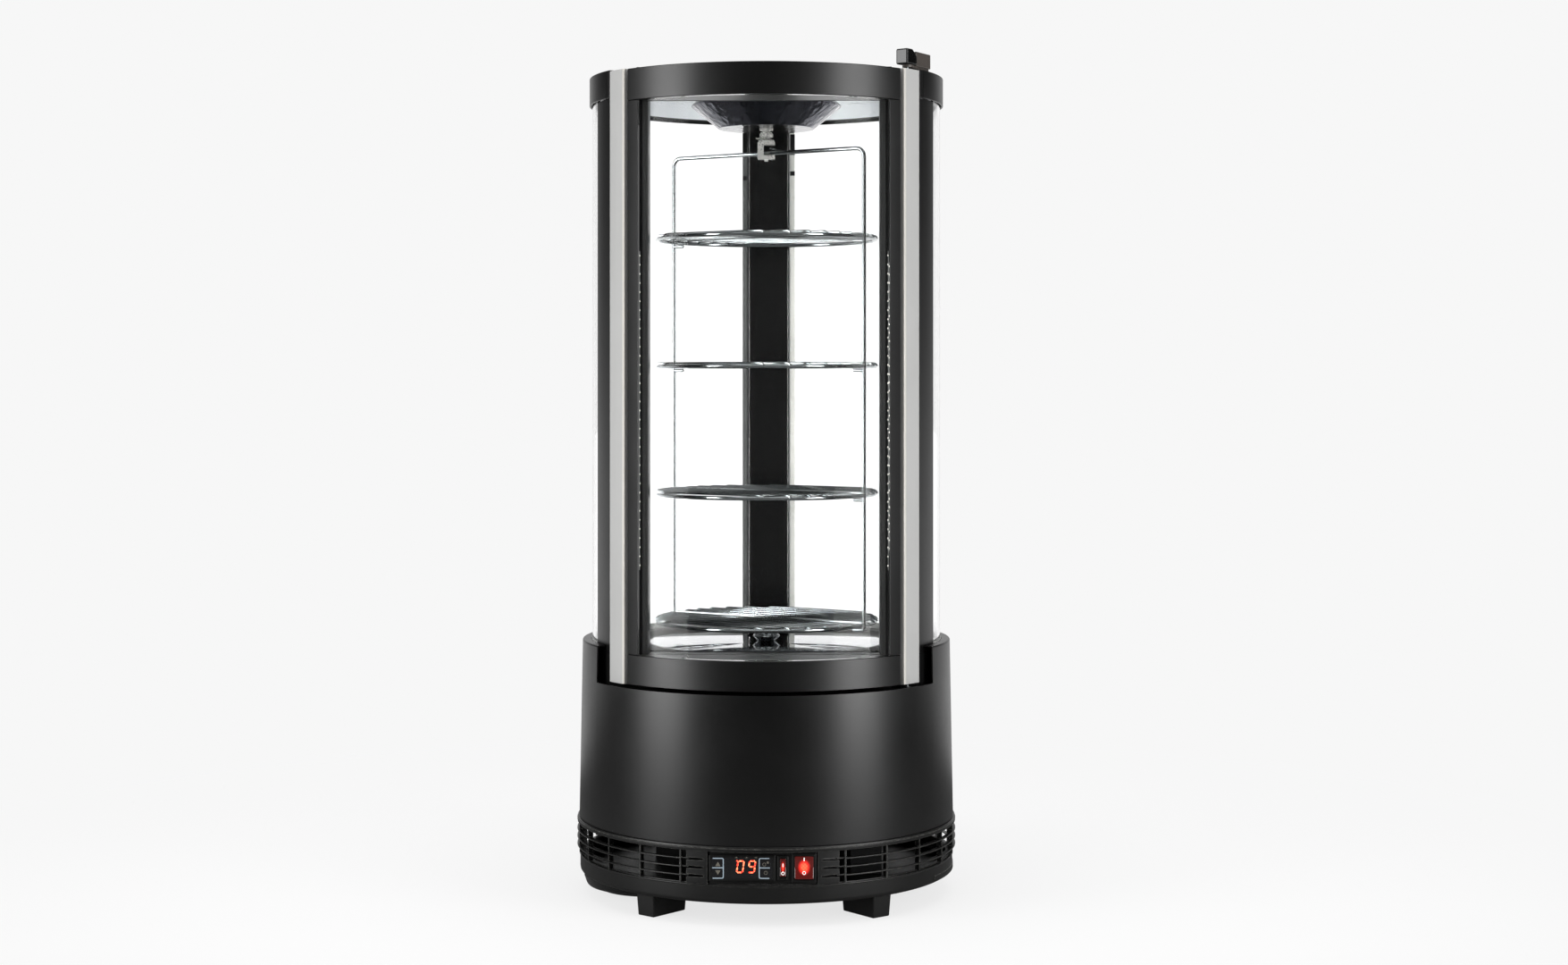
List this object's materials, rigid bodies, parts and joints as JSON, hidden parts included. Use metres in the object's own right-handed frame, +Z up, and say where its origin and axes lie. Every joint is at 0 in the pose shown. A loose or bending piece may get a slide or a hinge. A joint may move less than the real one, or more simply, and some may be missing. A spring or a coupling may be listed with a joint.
{
  "type": "refrigerated display case",
  "caption": "Round countertop refrigerated display case with a curved glass door, glass walls and a turning rack of wire shelves.",
  "frame": {"origin": "on the surface it stands on, below the middle of the case", "axes": "+Z up, the door and the controls face -Y, +X is on the right seen from the front"},
  "size_m": [0.45, 0.45, 0.9834],
  "materials": {
    "black_paint": "satin black powder coat",
    "black_plastic": "fine-grained black moulding",
    "gloss_black": "glossy black moulding",
    "satin_aluminium": "satin anodised extrusion",
    "chrome": "bright chrome plate",
    "polished_steel": "mirror polished steel sheet",
    "glass": "clear float glass",
    "pale_enamel": "pale grey enamel",
    "gasket_rubber": "dark grey ribbed gasket",
    "insulated_core": "painted foamed floor",
    "red_lens": "translucent red switch lens",
    "fin_metal": "bare aluminium fins",
    "opal_strip": "opal light strip"
  },
  "bodies": {
    "cabinet": {"air_column": "gloss_black", "base_pan": "black_plastic", "cable_gland": "black_plastic", "ceiling": "pale_enamel", "column_strip_left": "opal_strip", "column_strip_right": "opal_strip", "compressor": "black_paint", "condenser_coil": "fin_metal", "condenser_fan_motor": "black_paint", "condenser_fan_shroud": "black_paint", "control_panel": "black_plastic", "controller": "gloss_black", "drip_tray": "black_plastic", "evaporator_coil": "fin_metal", "evaporator_fan_motor": "black_paint", "floor_disc": "polished_steel", "floor_ring": "black_plastic", "foot_1": "black_plastic", "foot_2": "black_plastic", "foot_3": "black_plastic", "foot_4": "black_plastic", "front_frame": "black_paint", "gear_motor": "fin_metal", "glass_channel": "satin_aluminium", "glass_inner": "glass", "glass_outer": "glass", "hinge_bracket_lower": "black_paint", "hinge_bracket_upper": "black_paint", "hinge_cap": "gloss_black", "insulated_floor": "insulated_core", "light_switch_housing": "black_plastic", "motor_dome": "polished_steel", "pivot_boss": "chrome", "post_left": "black_paint", "post_right": "black_paint", "power_switch_housing": "black_plastic", "skirt": "black_paint", "top_lid": "black_paint", "top_ring": "black_paint", "vent_ring": "black_plastic"},
    "door": {"door_bottom_rail": "black_paint", "door_gasket": "gasket_rubber", "door_glass": "glass", "door_stile_left": "black_paint", "door_stile_right": "black_paint", "door_top_rail": "black_paint", "door_trim_left": "satin_aluminium", "door_trim_right": "satin_aluminium", "led_strip_left": "opal_strip", "led_strip_right": "opal_strip"},
    "rack": {"rack_frame": "chrome", "shelf_1": "chrome", "shelf_2": "chrome", "shelf_3": "chrome", "shelf_4": "chrome", "drive_coupling": "chrome"},
    "light_rocker": {"light_rocker": "red_lens"},
    "power_rocker": {"power_rocker": "red_lens"},
    "condenser_fan": {"condenser_fan": "black_plastic"},
    "evaporator_fan": {"evaporator_fan": "black_plastic"}
  },
  "joints": [
    {"name": "door_hinge", "type": "hinge", "parent": "cabinet", "child": "door", "pos_m": [0.16264, -0.1248, 0.2595], "axis": [0, 0, 1], "range_deg": [0, 110]},
    {"name": "rack_turn", "type": "hinge", "parent": "cabinet", "child": "rack", "pos_m": [0, 0, 0.876], "axis": [0, 0, 1], "continuous": true},
    {"name": "light_rocker_tip", "type": "hinge", "parent": "cabinet", "child": "light_rocker", "pos_m": [0.0226, -0.2127, 0.0658], "axis": [1, 0, 0], "range_deg": [0, 18]},
    {"name": "power_rocker_tip", "type": "hinge", "parent": "cabinet", "child": "power_rocker", "pos_m": [0.046, -0.2127, 0.0658], "axis": [1, 0, 0], "range_deg": [0, 18]},
    {"name": "condenser_fan_spin", "type": "hinge", "parent": "cabinet", "child": "condenser_fan", "pos_m": [0.078, 0.02, 0.0833], "axis": [1, 0, 0], "continuous": true},
    {"name": "evaporator_fan_spin", "type": "hinge", "parent": "cabinet", "child": "evaporator_fan", "pos_m": [0, 0.059, 0.2316], "axis": [0, 0, 1], "continuous": true}
  ]
}
